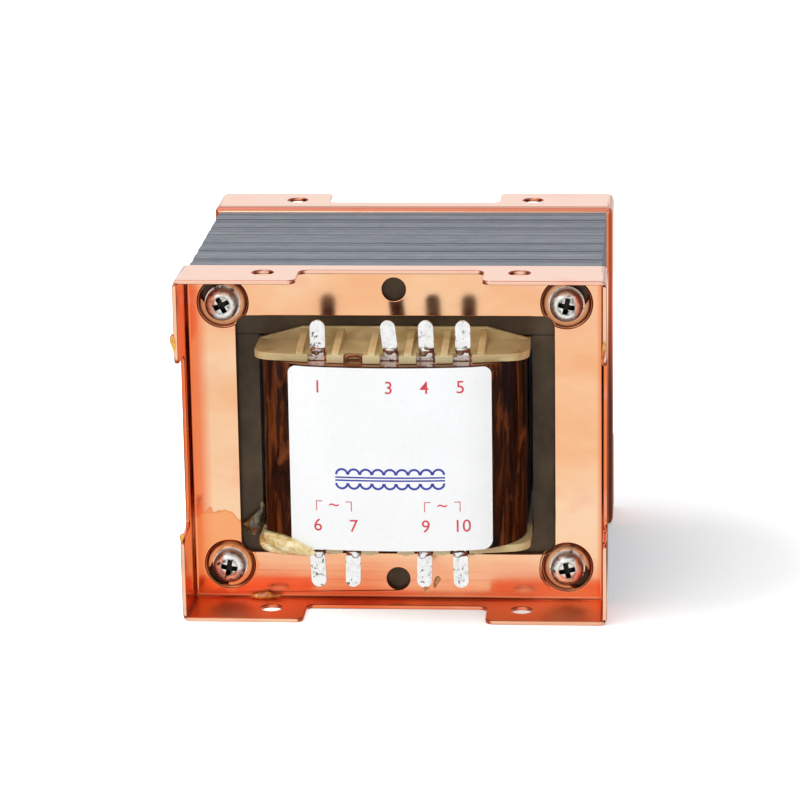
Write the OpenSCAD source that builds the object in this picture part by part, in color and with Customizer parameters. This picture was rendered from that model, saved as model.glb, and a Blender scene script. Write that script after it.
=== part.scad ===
// Laminated chassis transformer: an interleaved E and I core, a wound bobbin with solder lugs,
// and two pressed end brackets clamped by four long screws.
// Origin: middle of the underside. X is the width, -Y the front, Z up.

/* [Core] */
// Width of the lamination's centre leg
tongue_w = 38; // [30:0.5:46]
// Width of each outer leg
leg_w = 19; // [17:0.5:23]
// Height of each yoke
yoke_h = 19; // [17:0.5:23]
// Width of each winding window
window_w = 19; // [17:0.5:22]
// Height of each winding window
window_h = 57; // [50:0.5:64]
// Depth of the lamination stack
stack_d = 70; // [50:1:90]
// Number of packets that the sheets are laid in, pointing up and down in turn
packet_count = 14; // [8:2:20]
// Seam between an E and the I that closes it
butt_gap = 0.15; // [0.05:0.05:0.3]
// Bore of the clamping holes in the sheets
sheet_hole_d = 7; // [6.8:0.1:8]
// Distance from the core's edges to the axis of a clamping hole
bolt_inset = 9.5; // [8.6:0.1:10]

/* [Brackets] */
// Thickness of the bracket sheet
sheet_t = 1.2; // [0.8:0.1:1.6]
// Height by which the bracket stands out past each side of the core
side_overhang = 1.85; // [1.6:0.05:3]
// Height by which the bracket stands out above and below the core
top_overhang = 1.35; // [1.2:0.05:3]
// Inner radius of the bend between plate and flange
bend_r = 1.1; // [0.6:0.1:2]
// Distance from the core's face to the lip of an ear
ear_reach = 20.4; // [18:0.2:26]
// Distance from the core's face to the lip between two ears
notch_reach = 8.1; // [6.5:0.1:9]
// Width of an ear at the top or bottom
top_ear_w = 33.6; // [30:0.1:40]
// Height of an ear at the side
side_ear_h = 24; // [20:0.1:29]
// Radius at the corners of an ear and of the notch beside it
ear_r = 2.4; // [1:0.1:3]
// Radius on the bracket's four outer corners
outer_corner_r = 2; // [1.4:0.1:3]
// Width of the slit between neighbouring flanges
slit_w = 0.35; // [0.2:0.05:0.6]
// Width of the opening in the plate
opening_w = 88.1; // [84:0.1:90]
// Height of the opening in the plate
opening_h = 68.6; // [66:0.1:70]
// Corner radius of the opening in the plate
opening_r = 3.2; // [1:0.1:5]
// Bore of the mounting holes in the ears
ear_hole_d = 6; // [4:0.1:7]
// Spacing of the mounting holes across the bracket
ear_hole_spacing = 70.1; // [66:0.1:76]
// Distance from the core's face to the mounting holes
ear_hole_reach = 11; // [10:0.1:13]
// Bore of the two holes in the middle of the plate
plate_hole_d = 6.5; // [4:0.1:7]
// Height between the two holes in the middle of the plate
plate_hole_spacing = 83.7; // [80:0.1:86]
// Diameter of the dimple round each clamp screw, at the plate's face
dimple_d = 14.2; // [13.4:0.1:15]
// Diameter of the dimple's flat floor
dimple_floor_d = 11.4; // [10.6:0.1:12.4]
// Depth of the dimple, which is also the plate's distance from the core
dimple_h = 0.8; // [0.5:0.1:1]
// Width of the slanted slot in the dimple's floor
slot_w = 7.3; // [6:0.1:8]
// Distance from the screw's axis to the middle of the slot's outer end
slot_run = 3.2; // [1:0.1:3.6]

/* [Bobbin] */
// Wall of the bobbin's tube
tube_wall = 1.6; // [1:0.1:2.4]
// Clearance between the tube and the centre leg
tube_gap = 0.3; // [0.2:0.05:0.6]
// Clearance above the bobbin, which stands on the lower yoke
bobbin_gap = 0.6; // [0.3:0.1:1]
// Clearance between a flange and the outer legs
flange_gap = 0.3; // [0.2:0.05:0.6]
// Thickness of a flange
flange_t = 2.1; // [1.6:0.1:3]
// Distance from the core's face to the front of a flange
flange_reach = 21.3; // [20:0.1:24]
// Corner radius of a flange
flange_corner_r = 5.5; // [4:0.5:9]
// Radius of the bowed front of the flanges and the winding
bow_r = 150; // [110:5:300]
// Distance between neighbouring terminal slots
terminal_pitch = 9.9; // [9:0.1:11]
// Width of a terminal slot
terminal_slot_w = 5.2; // [5:0.1:6]
// Height of the wall in front of the yoke
wall_h = 3.3; // [2:0.1:4]
// Thickness of the wall in front of the yoke
wall_t = 1.2; // [0.8:0.1:1.6]
// Width of the level top of the wall
wall_top_w = 51; // [46:0.5:60]
// Clearance between the wall and the core's face
wall_gap = 0.3; // [0.2:0.05:0.5]
// Thickness of a rib between two slots
rib_t = 2; // [1.2:0.1:2.6]
// Height of a rib beside the wall
rib_crest_h = 2.8; // [1.5:0.1:3.3]
// Distance that the row of slots in the lower flange is moved to the side
lower_row_shift = -1.3; // [-1.5:0.1:1.5]

/* [Winding] */
// Clearance between the winding's outer wrap and the outer legs
winding_gap = 1.5; // [1:0.1:2.5]
// Distance from the core's face to the front of the winding
winding_reach = 25; // [24:0.1:28]
// Corner radius of the outer wrap
winding_corner_r = 18; // [8:0.5:20]
// Build of the primary winding at the sides
primary_t = 5.5; // [4:0.1:7]
// Build of each layer of insulation
insulation_t = 0.5; // [0.3:0.05:0.8]
// Build of the earthed screen foil
screen_t = 0.3; // [0.2:0.05:0.5]
// Build of the two heater windings
heater_t = 2.4; // [1.6:0.1:3]
// Thickness of the outer wrap
wrap_t = 0.8; // [0.5:0.1:1.2]
// Clearance between one layer and the next
layer_gap = 0.05; // [0.02:0.01:0.1]
// Clearance between the windings and the flanges
end_gap = 0.1; // [0.05:0.05:0.4]
// Gap between the upper and the lower heater winding
heater_split = 2; // [1:0.1:4]
// Thickness of the label
label_t = 0.2; // [0.1:0.05:0.4]
// Width of the label
label_w = 55.4; // [48:0.1:58]
// Height by which the wrap shows above and below the label
label_margin = 0.1; // [0.1:0.1:4]
// Corner radius of the label
label_r = 2.4; // [0.5:0.1:6]

/* [Terminals] */
// Distance from the core's face to the lugs
lug_reach = 17; // [16:0.1:18]
// Thickness of a lug
lug_t = 0.8; // [0.6:0.1:1]
// Width of a lug
lug_w = 4.2; // [3.8:0.1:5]
// Width of a lug's neck
neck_w = 3.2; // [2.6:0.1:3.4]
// Width of a lug's foot in its groove
foot_w = 6.4; // [6:0.1:7]
// Height of a lug's foot
foot_h = 1; // [0.8:0.1:1.2]
// Height of a lug's shoulder above the flange
shoulder_h = 1.2; // [1.1:0.1:1.5]
// Height of an upper lug above the flange
upper_lug_h = 9.1; // [7:0.1:12]
// Height of a lower lug below the flange
lower_lug_h = 10.7; // [7:0.1:12]
// Diameter of the lead wires
lead_d = 0.5; // [0.3:0.05:0.5]
// Diameter of the spare lead's wire
spare_lead_d = 0.9; // [0.5:0.05:1]

/* [Fasteners] */
// Diameter of a clamp screw
screw_d = 5; // [4:0.1:5.2]
// Diameter of a screw's head
head_d = 9.2; // [8.5:0.1:9.8]
// Height of a screw's head
head_h = 3.4; // [3:0.1:4]
// Radius of the crown on a screw's head
head_crown_r = 9; // [7:0.1:12]
// Radius round the edge of a screw's head
head_edge_r = 1.5; // [1:0.1:1.5]
// Length of an arm of the cross recess, from end to end
recess_w = 4.9; // [4:0.1:5.4]
// Width of an arm of the cross recess
recess_arm_t = 1.35; // [0.8:0.05:1.6]
// Depth of the cross recess
recess_h = 2.3; // [1.6:0.1:2.6]
// Outer diameter of the flat washers
washer_d = 10; // [9.6:0.1:11]
// Thickness of the flat washers
washer_t = 1; // [0.8:0.1:1.4]
// Outer diameter of the spring washers
spring_washer_d = 8.8; // [8:0.1:9.2]
// Thickness of the spring washers
spring_washer_t = 1.3; // [1:0.1:1.6]
// Size of a nut across its flats
nut_af = 8; // [7.5:0.1:9]
// Height of a nut
nut_h = 4; // [3:0.1:5]
// Length of screw that stands out past its nut
screw_tail = 2.5; // [1:0.1:5]
// Clearance all round a screw in its washers and nuts
screw_fit = 0.05; // [0.02:0.01:0.1]
// Clearance inside and outside a sleeve
sleeve_gap = 0.1; // [0.05:0.01:0.15]

/* [Hidden] */
$fn = 48;
eps = 0.01;
// How far a cutting shape runs past the surface that it opens
cut = 1;

// Core
core_w = tongue_w + 2 * (window_w + leg_w);
core_h = window_h + 2 * yoke_h;
core_front = stack_d / 2;
bolt_x = core_w / 2 - bolt_inset;
bolt_z = core_h / 2 - bolt_inset;
packet_t = stack_d / packet_count;

// Brackets, with heights measured from the core's middle
bracket_w = core_w + 2 * side_overhang;
bracket_h = core_h + 2 * top_overhang;
core_z = bracket_h / 2;
plate_back = core_front + dimple_h;
plate_front = plate_back + sheet_t;
washer_seat = core_front + sheet_t;
dimple_rim_t = 0.8;

// Bobbin
terminal_slots = 5;
tube_w = tongue_w + 2 * (tube_gap + tube_wall);
tube_d = stack_d + 2 * (tube_gap + tube_wall);
tube_corner_r = 1.5;
bobbin_bottom = -window_h / 2;
bobbin_top = window_h / 2 - bobbin_gap;
wind_bottom = bobbin_bottom + flange_t;
wind_top = bobbin_top - flange_t;
flange_half_w = tongue_w / 2 + window_w - flange_gap;
wall_back = core_front + wall_gap;
wall_front = wall_back + wall_t;
groove_gap = 0.1;
rib_nose_h = 0.5;
rib_crest_t = 2.5;
rib_setback = 0.8;

// Winding
winding_half_w = tongue_w / 2 + window_w - winding_gap;
winding_front = core_front + winding_reach;
winding_build = winding_half_w - tube_w / 2;
screen_start = primary_t + insulation_t;
high_voltage_start = screen_start + screen_t + insulation_t;
heater_start = winding_build - wrap_t - heater_t;
high_voltage_end = heater_start - insulation_t;
glue_t = 0.03;
arc_overlap = 0.005;

// Terminals: each slot that holds a lug, counted from the left, and the angle at which that lug leans
front_upper_slots = [[0, 0], [2, 6], [3, 2], [4, 0]];
front_lower_slots = [[0, -2], [1, 1], [3, 1], [4, -1]];
rear_upper_slots = [[0, 1], [2, 0], [4, -1]];
rear_lower_slots = [[1, 0], [3, 1]];
spare_slot = 1;
lead_gap = 0.03;
shoulder_r = 0.8;

// Angle of the cross recess in each screw, counted round from the lower left
recess_turns = [4, 4, 0, 10];
recess_taper = 0.6;
screw_chamfer = 0.7;
nut_chamfer = 0.4;
spring_washer_split = 0.8;
corners = [[-1, -1], [1, -1], [1, 1], [-1, 1]];

// Places children at the core's middle height
module at_core() {
    translate([0, 0, core_z]) children();
}

// Turns an outline drawn in X and Z into a solid from y = from back to y = to
module upright(from, to) {
    translate([0, to, 0]) rotate([90, 0, 0]) linear_extrude(to - from) children();
}

// Places one child on each clamping axis
module at_bolts() {
    for (corner = corners) {
        translate([corner[0] * bolt_x, 0, corner[1] * bolt_z]) children();
    }
}

// A rectangle with round corners, centred
module round_rectangle(w, h, r) {
    square([w, h - 2 * r], center = true);
    square([w - 2 * r, h], center = true);
    for (corner = corners) {
        translate([corner[0] * (w / 2 - r), corner[1] * (h / 2 - r)]) circle(r);
    }
}

// ---- Core ----

module e_outline() {
    difference() {
        translate([-core_w / 2, -core_h / 2]) square([core_w, core_h - yoke_h]);
        for (side = [-1, 1]) {
            translate([side * (tongue_w + window_w) / 2 - window_w / 2, -window_h / 2])
                square([window_w, window_h + eps]);
        }
        for (side = [-1, 1]) {
            translate([side * bolt_x, -bolt_z]) circle(d = sheet_hole_d);
        }
    }
}

module i_outline() {
    difference() {
        translate([-core_w / 2, window_h / 2 + butt_gap]) square([core_w, yoke_h]);
        for (side = [-1, 1]) {
            translate([side * bolt_x, bolt_z]) circle(d = sheet_hole_d);
        }
    }
}

// Every second packet of the stack, counted from the front; first is 0 or 1
module packets(first) {
    for (i = [first : 2 : packet_count - 1]) {
        upright(-core_front + i * packet_t, -core_front + (i + 1) * packet_t) children();
    }
}

module e_laminations_upright() {
    color("slategray") at_core() packets(0) e_outline();
}

module i_laminations_upper() {
    color("lightslategray") at_core() packets(0) i_outline();
}

module e_laminations_inverted() {
    color("slategray") at_core() packets(1) mirror([0, 1]) e_outline();
}

module i_laminations_lower() {
    color("lightslategray") at_core() packets(1) mirror([0, 1]) i_outline();
}

// ---- Brackets ----

// Section of a pan across its plate: square at the lip, with radius r at the plate
module pan_section(w, back, front, r) {
    translate([-w / 2, -front]) square([w, front - back - r]);
    translate([-w / 2 + r, -front]) square([w - 2 * r, front - back]);
    for (side = [-1, 1]) {
        translate([side * (w / 2 - r), -back - r]) circle(r);
    }
}

// A block with rounded edges towards the core and round outer corners: the pan's outside or its inside
module pan_block(w, h, back, front, r, corner_r) {
    intersection() {
        upright(-front, -back) round_rectangle(w, h, corner_r);
        translate([0, 0, -h / 2]) linear_extrude(h) pan_section(w, back, front, r);
        sideways(w) pan_section(h, back, front, r);
    }
}

// Turns a section drawn in X and Y by a quarter and runs it along the width
module sideways(w) {
    rotate([90, 0, 90]) translate([0, 0, -w / 2]) linear_extrude(w) rotate(-90) children();
}

// Outline cut from a flange between two ears, open towards the lip: half_w reaches to the ears' sides
module notch(half_w) {
    lip = core_front + ear_reach;
    root = core_front + notch_reach;
    translate([-half_w, -lip - cut]) square([2 * half_w, lip + cut - root - ear_r]);
    translate([-half_w + ear_r, -root - 2 * ear_r]) square([2 * (half_w - ear_r), 2 * ear_r]);
    for (side = [-1, 1]) {
        translate([side * (half_w - ear_r), -root - ear_r]) circle(ear_r);
    }
    // leaves a round corner on each ear
    difference() {
        translate([-half_w - ear_r, -lip - cut]) square([2 * (half_w + ear_r), ear_r + cut]);
        for (side = [-1, 1]) {
            translate([side * (half_w + ear_r), -lip + ear_r]) circle(ear_r);
        }
    }
}

// The slot in a dimple's floor, with its outer end towards the bracket's corner
module dimple_slot() {
    circle(d = slot_w);
    translate([slot_run, 0]) circle(d = slot_w);
    translate([0, -slot_w / 2]) square([slot_run, slot_w]);
}

// A dimple's flared side from the plate's face at y = from to its floor at y = to, wider all round by rim
module dimple_cone(from, to, rim) {
    translate([0, to, 0]) rotate([90, 0, 0])
        cylinder(d1 = dimple_floor_d + 2 * rim, d2 = dimple_d + 2 * rim, h = to - from);
}

// The pressed pan before it is pierced
module bracket_pan() {
    lip = core_front + ear_reach;
    difference() {
        union() {
            pan_block(bracket_w, bracket_h, plate_back, lip, bend_r + sheet_t, outer_corner_r);
            at_bolts() dimple_cone(-plate_back - eps, -core_front, dimple_rim_t);
        }
        pan_block(bracket_w - 2 * sheet_t, bracket_h - 2 * sheet_t, plate_front, lip + cut, bend_r,
                  outer_corner_r - sheet_t);
        at_bolts() dimple_cone(-plate_front, -washer_seat, 0);
        at_bolts() upright(-plate_front - cut, -plate_front + eps) circle(d = dimple_d);
    }
}

// The notches between the ears and the slits between neighbouring flanges
module flange_cuts() {
    translate([0, 0, -bracket_h]) linear_extrude(2 * bracket_h) notch(bracket_w / 2 - top_ear_w);
    sideways(2 * bracket_w) notch(bracket_h / 2 - side_ear_h);
    upright(-core_front - ear_reach - cut, -plate_front - bend_r) {
        for (corner = corners) {
            translate([corner[0] * (bracket_w - sheet_t) / 2, corner[1] * (bracket_h / 2 - sheet_t - slit_w / 2)])
                square([sheet_t + cut, slit_w], center = true);
        }
    }
}

// The opening and all holes of a bracket
module bracket_holes() {
    upright(-core_front - ear_reach, -core_front + cut) {
        round_rectangle(opening_w, opening_h, opening_r);
        for (corner = corners) {
            translate([corner[0] * bolt_x, corner[1] * bolt_z])
                rotate(atan2(corner[1], corner[0])) dimple_slot();
        }
        for (side = [-1, 1]) {
            translate([0, side * plate_hole_spacing / 2]) circle(d = plate_hole_d);
        }
    }
    for (side = [-1, 1]) {
        translate([side * ear_hole_spacing / 2, -core_front - ear_hole_reach, 0])
            cylinder(d = ear_hole_d, h = bracket_h + 2 * cut, center = true);
    }
}

module bracket() {
    difference() {
        bracket_pan();
        flange_cuts();
        bracket_holes();
    }
}

module front_bracket() {
    color("peru") at_core() bracket();
}

module rear_bracket() {
    color("peru") at_core() mirror([0, 1, 0]) bracket();
}

// ---- Bobbin ----

// Plan with bowed front and back and round corners; front is the distance from the middle to the bow.
// A corner's arc starts a hair outside the bow and the side, so that the two cross instead of touching.
module bowed_plan(half_w, front, r, bow) {
    bow_y = front - bow;
    corner = [half_w - r, bow_y + sqrt(pow(bow - r, 2) - pow(half_w - r, 2))];
    past_bow = [corner[0], corner[1] - bow_y] * (bow + cut) / (bow - r) + [0, bow_y];
    difference() {
        intersection() {
            square([2 * half_w, 2 * front], center = true);
            translate([0, bow_y]) circle(bow);
            translate([0, -bow_y]) circle(bow);
        }
        for (sides = corners) {
            to_corner(sides) difference() {
                polygon([corner, past_bow, [half_w + cut, front + cut], [half_w + cut, corner[1]]]);
                translate(corner) circle(r + arc_overlap);
            }
        }
    }
}

// Mirrors an outline drawn at the positive corner to the corner whose signs are given
module to_corner(sides) {
    mirror([sides[0] < 0 ? 1 : 0, 0]) mirror([0, sides[1] < 0 ? 1 : 0]) children();
}

// How far the bow falls back at distance x from the middle
function bow_drop(x) = bow_r - sqrt(bow_r * bow_r - x * x);

// Middle of terminal slot i of a row, counted from the left
function slot_x(i) = (i - (terminal_slots - 1) / 2) * terminal_pitch;

module bobbin_flange() {
    linear_extrude(flange_t)
        bowed_plan(flange_half_w, core_front + flange_reach, flange_corner_r, bow_r);
}

// The wall that stands on a flange in front of the yoke; z = 0 is the flange's outer face
module terminal_wall() {
    root = flange_t / 2;
    upright(-wall_front, -wall_back)
        polygon([[-flange_half_w, -root], [-flange_half_w, 0], [-wall_top_w / 2, wall_h],
                 [wall_top_w / 2, wall_h], [flange_half_w, 0], [flange_half_w, -root]]);
}

// The ribs between the terminal slots, moved sideways by shift
module terminal_ribs(shift) {
    root = flange_t / 2;
    for (i = [0 : terminal_slots]) {
        x = slot_x(i - 0.5) + shift;
        nose = core_front + flange_reach - bow_drop(x) - rib_setback;
        translate([x, 0, 0]) rotate([90, 0, 90]) translate([0, 0, -rib_t / 2]) linear_extrude(rib_t)
            polygon([[-nose, -root], [-nose, rib_nose_h], [-wall_front - rib_crest_t, rib_crest_h],
                     [-wall_front + wall_t / 2, rib_crest_h], [-wall_front + wall_t / 2, -root]]);
    }
}

// The slots at the front of a flange, each with a cross groove that holds a lug's foot
module terminal_cuts() {
    lug_y = core_front + lug_reach;
    for (i = [0 : terminal_slots - 1]) {
        translate([slot_x(i) - terminal_slot_w / 2, -core_front - flange_reach - cut])
            square([terminal_slot_w, flange_reach + cut - lug_reach]);
        translate([slot_x(i), -lug_y])
            square([foot_w + 2 * groove_gap, lug_t + 2 * groove_gap], center = true);
    }
}

module bobbin() {
    color("wheat") at_core() difference() {
        union() {
            translate([0, 0, bobbin_bottom]) linear_extrude(bobbin_top - bobbin_bottom)
                round_rectangle(tube_w, tube_d, tube_corner_r);
            translate([0, 0, bobbin_bottom]) bobbin_flange();
            translate([0, 0, wind_top]) bobbin_flange();
            for (turn = [0, 1]) {
                mirror([0, turn, 0]) {
                    translate([0, 0, bobbin_top]) {
                        terminal_wall();
                        terminal_ribs(0);
                    }
                    translate([0, 0, bobbin_bottom]) mirror([0, 0, 1]) {
                        terminal_wall();
                        terminal_ribs(lower_row_shift);
                    }
                }
            }
        }
        translate([0, 0, bobbin_bottom - cut]) linear_extrude(window_h + 2 * cut)
            square([tongue_w + 2 * tube_gap, stack_d + 2 * tube_gap], center = true);
        for (turn = [0, 1]) {
            mirror([0, turn, 0]) {
                translate([0, 0, wind_top - eps]) linear_extrude(flange_t + 2 * eps) terminal_cuts();
                translate([lower_row_shift, 0, bobbin_bottom - eps])
                    linear_extrude(flange_t + 2 * eps) terminal_cuts();
            }
        }
    }
}

// ---- Winding ----

// Plan of the winding where its build at the sides is t
module build_plan(t) {
    share = t / winding_build;
    bowed_plan(tube_w / 2 + t, tube_d / 2 + (winding_front - tube_d / 2) * share,
               tube_corner_r + (winding_corner_r - tube_corner_r) * share, bow_r);
}

// A layer of the winding from build t0 to build t1, as high as the bobbin lets it be
module layer(t0, t1, bottom = wind_bottom + end_gap, top = wind_top - end_gap) {
    at_core() translate([0, 0, bottom]) linear_extrude(top - bottom) difference() {
        build_plan(t1);
        build_plan(t0 + layer_gap);
    }
}

module primary_winding() {
    color("firebrick") at_core() translate([0, 0, wind_bottom + end_gap])
        linear_extrude(wind_top - wind_bottom - 2 * end_gap) difference() {
            build_plan(primary_t);
            round_rectangle(tube_w + 2 * layer_gap, tube_d + 2 * layer_gap, tube_corner_r);
        }
}

module primary_insulation() {
    color("khaki") layer(primary_t, screen_start);
}

module screen_foil() {
    color("sandybrown") layer(screen_start, screen_start + screen_t);
}

module screen_insulation() {
    color("khaki") layer(screen_start + screen_t, high_voltage_start);
}

module high_voltage_winding() {
    color("firebrick") layer(high_voltage_start, high_voltage_end);
}

module high_voltage_insulation() {
    color("khaki") layer(high_voltage_end, heater_start);
}

module upper_heater_winding() {
    middle = (wind_top + wind_bottom + heater_split) / 2;
    color("firebrick") layer(heater_start, heater_start + heater_t, bottom = middle);
}

module lower_heater_winding() {
    middle = (wind_top + wind_bottom - heater_split) / 2;
    color("firebrick") layer(heater_start, heater_start + heater_t, top = middle);
}

module outer_wrap() {
    color("maroon") layer(winding_build - wrap_t, winding_build);
}

module label() {
    label_h = wind_top - wind_bottom - 2 * end_gap - 2 * label_margin;
    inner = glue_t;
    outer = glue_t + label_t;
    color("white") at_core() translate([0, 0, (wind_top + wind_bottom) / 2]) intersection() {
        translate([0, 0, -label_h / 2]) linear_extrude(label_h) difference() {
            bowed_plan(winding_half_w + outer, winding_front + outer, winding_corner_r + outer, bow_r + outer);
            bowed_plan(winding_half_w + inner, winding_front + inner, winding_corner_r + inner, bow_r + inner);
        }
        upright(-winding_front - cut, -core_front) round_rectangle(label_w, label_h, label_r);
    }
}

// ---- Terminals ----

// A flat lug that stands in its groove: z = 0 is the flange's inner face, height counts from its outer face
module lug(height, lean) {
    shoulder = flange_t + shoulder_h;
    tab_h = height - shoulder_h;
    upright(-core_front - lug_reach - lug_t / 2, -core_front - lug_reach + lug_t / 2) {
        translate([-foot_w / 2, 0]) square([foot_w, foot_h]);
        translate([-neck_w / 2, 0]) square([neck_w, shoulder]);
        translate([0, shoulder]) rotate(lean) {
            circle(d = neck_w);
            translate([-lug_w / 2, shoulder_r]) square([lug_w, tab_h - shoulder_r - lug_w / 2]);
            translate([-lug_w / 2 + shoulder_r, 0]) square([lug_w - 2 * shoulder_r, 2 * shoulder_r]);
            for (side = [-1, 1]) {
                translate([side * (lug_w / 2 - shoulder_r), shoulder_r]) circle(shoulder_r);
            }
            translate([0, tab_h - lug_w / 2]) circle(d = lug_w);
        }
    }
}

module upper_lugs(slots) {
    at_core() for (slot = slots) {
        translate([slot_x(slot[0]), 0, wind_top]) lug(upper_lug_h, slot[1]);
    }
}

module lower_lugs(slots) {
    at_core() for (slot = slots) {
        translate([slot_x(slot[0]) + lower_row_shift, 0, wind_bottom])
            mirror([0, 0, 1]) lug(lower_lug_h, slot[1]);
    }
}

module front_upper_lugs() {
    color("lightgray") upper_lugs(front_upper_slots);
}

module front_lower_lugs() {
    color("lightgray") lower_lugs(front_lower_slots);
}

module rear_upper_lugs() {
    color("lightgray") mirror([0, 1, 0]) upper_lugs(rear_upper_slots);
}

module rear_lower_lugs() {
    color("lightgray") mirror([0, 1, 0]) lower_lugs(rear_lower_slots);
}

// One turn of wire round a lug's neck, centred on the neck
module neck_turn() {
    r = lug_t / 2 + lead_d / 2 + lead_gap;
    for (side = [-1, 1]) {
        translate([side * neck_w / 2, 0, 0]) rotate([0, 0, -90 * side])
            rotate_extrude(angle = 180) translate([r, 0]) circle(d = lead_d);
        translate([0, side * r, 0]) rotate([0, 90, 0]) cylinder(d = lead_d, h = neck_w, center = true);
    }
}

// A winding end that rises through its slot and is turned round the lug's neck; z = 0 as in lug()
module lead() {
    r = lug_t / 2 + lead_d / 2 + lead_gap;
    first_turn = flange_t + lead_d / 2 + lead_gap;
    translate([0, -core_front - lug_reach, 0]) {
        translate([neck_w / 2, -r, -end_gap]) cylinder(d = lead_d, h = first_turn + end_gap);
        translate([0, 0, first_turn]) neck_turn();
    }
}

// A spare winding end, folded back in an empty slot
module spare_lead() {
    z = flange_t - spare_lead_d;
    half_w = terminal_slot_w / 2 - spare_lead_d;
    translate([0, -core_front - lug_reach - lug_t - spare_lead_d, 0]) {
        for (side = [-1, 1]) {
            translate([side * half_w, 0, -end_gap]) cylinder(d = spare_lead_d, h = z + end_gap);
            translate([side * half_w, 0, z]) sphere(d = spare_lead_d);
        }
        translate([0, 0, z]) rotate([0, 90, 0]) cylinder(d = spare_lead_d, h = 2 * half_w, center = true);
    }
}

module upper_leads(slots) {
    at_core() for (slot = slots) {
        translate([slot_x(slot[0]), 0, wind_top]) lead();
    }
}

module lower_leads(slots) {
    at_core() for (slot = slots) {
        translate([slot_x(slot[0]) + lower_row_shift, 0, wind_bottom]) mirror([0, 0, 1]) lead();
    }
}

module front_leads() {
    color("chocolate") {
        upper_leads(front_upper_slots);
        lower_leads(front_lower_slots);
        at_core() translate([slot_x(spare_slot), 0, wind_top]) spare_lead();
    }
}

module rear_leads() {
    color("chocolate") mirror([0, 1, 0]) {
        upper_leads(rear_upper_slots);
        lower_leads(rear_lower_slots);
    }
}

// ---- Fasteners ----

// Places one child on each clamping axis, with its z axis pointing out of the front
module on_screw_axes() {
    at_core() at_bolts() rotate([90, 0, 0]) children();
}

module cross_recess() {
    intersection() {
        for (turn = [0, 90]) {
            rotate(turn) translate([0, 0, recess_h / 2])
                cube([recess_w, recess_arm_t, recess_h], center = true);
        }
        cylinder(r1 = recess_w / 2 * recess_taper, r2 = recess_w / 2, h = recess_h);
    }
}

// A pan head with a round edge and a crown, its underside at z = 0
module pan_head() {
    intersection() {
        rotate_extrude() {
            square([head_d / 2, head_h - head_edge_r]);
            square([head_d / 2 - head_edge_r, head_h]);
            translate([head_d / 2 - head_edge_r, head_h - head_edge_r]) circle(head_edge_r);
        }
        translate([0, 0, head_h - head_crown_r]) sphere(head_crown_r);
    }
}

// A screw with its head's underside at z = 0
module clamp_screw(turn) {
    grip = 2 * (washer_seat + washer_t) + spring_washer_t + nut_h + screw_tail;
    difference() {
        union() {
            pan_head();
            translate([0, 0, screw_chamfer - grip]) cylinder(d = screw_d, h = grip);
            translate([0, 0, -grip]) cylinder(d1 = screw_d - 2 * screw_chamfer, d2 = screw_d, h = screw_chamfer);
        }
        translate([0, 0, head_h - recess_h]) rotate(turn) cross_recess();
    }
}

module clamp_screws() {
    color("silver") at_core() for (i = [0 : len(corners) - 1]) {
        translate([corners[i][0] * bolt_x, -washer_seat - washer_t, corners[i][1] * bolt_z])
            rotate([90, 0, 0]) clamp_screw(recess_turns[i]);
    }
}

// A flat ring on a screw's axis from z = z0 to z = z0 + t
module ring(outer_d, inner_d, z0, t) {
    translate([0, 0, z0]) linear_extrude(t) difference() {
        circle(d = outer_d);
        circle(d = inner_d);
    }
}

module front_washers() {
    color("gainsboro") on_screw_axes() ring(washer_d, screw_d + 2 * screw_fit, washer_seat, washer_t);
}

module bolt_sleeves() {
    color("tan") on_screw_axes()
        ring(sheet_hole_d - 2 * sleeve_gap, screw_d + 2 * sleeve_gap, -core_front, stack_d);
}

module rear_washers() {
    color("gainsboro") on_screw_axes()
        ring(washer_d, screw_d + 2 * screw_fit, -washer_seat - washer_t, washer_t);
}

module spring_washers() {
    seat = -washer_seat - washer_t - spring_washer_t;
    color("gray") on_screw_axes() difference() {
        ring(spring_washer_d, screw_d + 2 * screw_fit, seat, spring_washer_t);
        translate([spring_washer_d / 2, 0, seat + spring_washer_t / 2]) rotate([30, 0, 0])
            cube([spring_washer_d, spring_washer_split, 2 * spring_washer_t], center = true);
    }
}

module hex_nuts() {
    seat = -washer_seat - washer_t - spring_washer_t - nut_h;
    across_corners = nut_af / cos(30);
    color("silver") on_screw_axes() translate([0, 0, seat]) difference() {
        intersection() {
            cylinder(d = across_corners, h = nut_h, $fn = 6);
            union() {
                cylinder(d1 = nut_af - nut_chamfer, d2 = across_corners + nut_chamfer, h = nut_h / 2);
                translate([0, 0, nut_h / 2])
                    cylinder(d1 = across_corners + nut_chamfer, d2 = nut_af - nut_chamfer, h = nut_h / 2);
            }
        }
        translate([0, 0, -cut]) cylinder(d = screw_d + 2 * screw_fit, h = nut_h + 2 * cut);
    }
}

front_bracket();
rear_bracket();
e_laminations_upright();
i_laminations_upper();
e_laminations_inverted();
i_laminations_lower();
bobbin();
primary_winding();
primary_insulation();
screen_foil();
screen_insulation();
high_voltage_winding();
high_voltage_insulation();
upper_heater_winding();
lower_heater_winding();
outer_wrap();
label();
front_upper_lugs();
front_lower_lugs();
rear_upper_lugs();
rear_lower_lugs();
front_leads();
rear_leads();
clamp_screws();
front_washers();
bolt_sleeves();
rear_washers();
spring_washers();
hex_nuts();
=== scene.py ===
import math
import random

import bpy
from mathutils import Matrix, Vector


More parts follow.
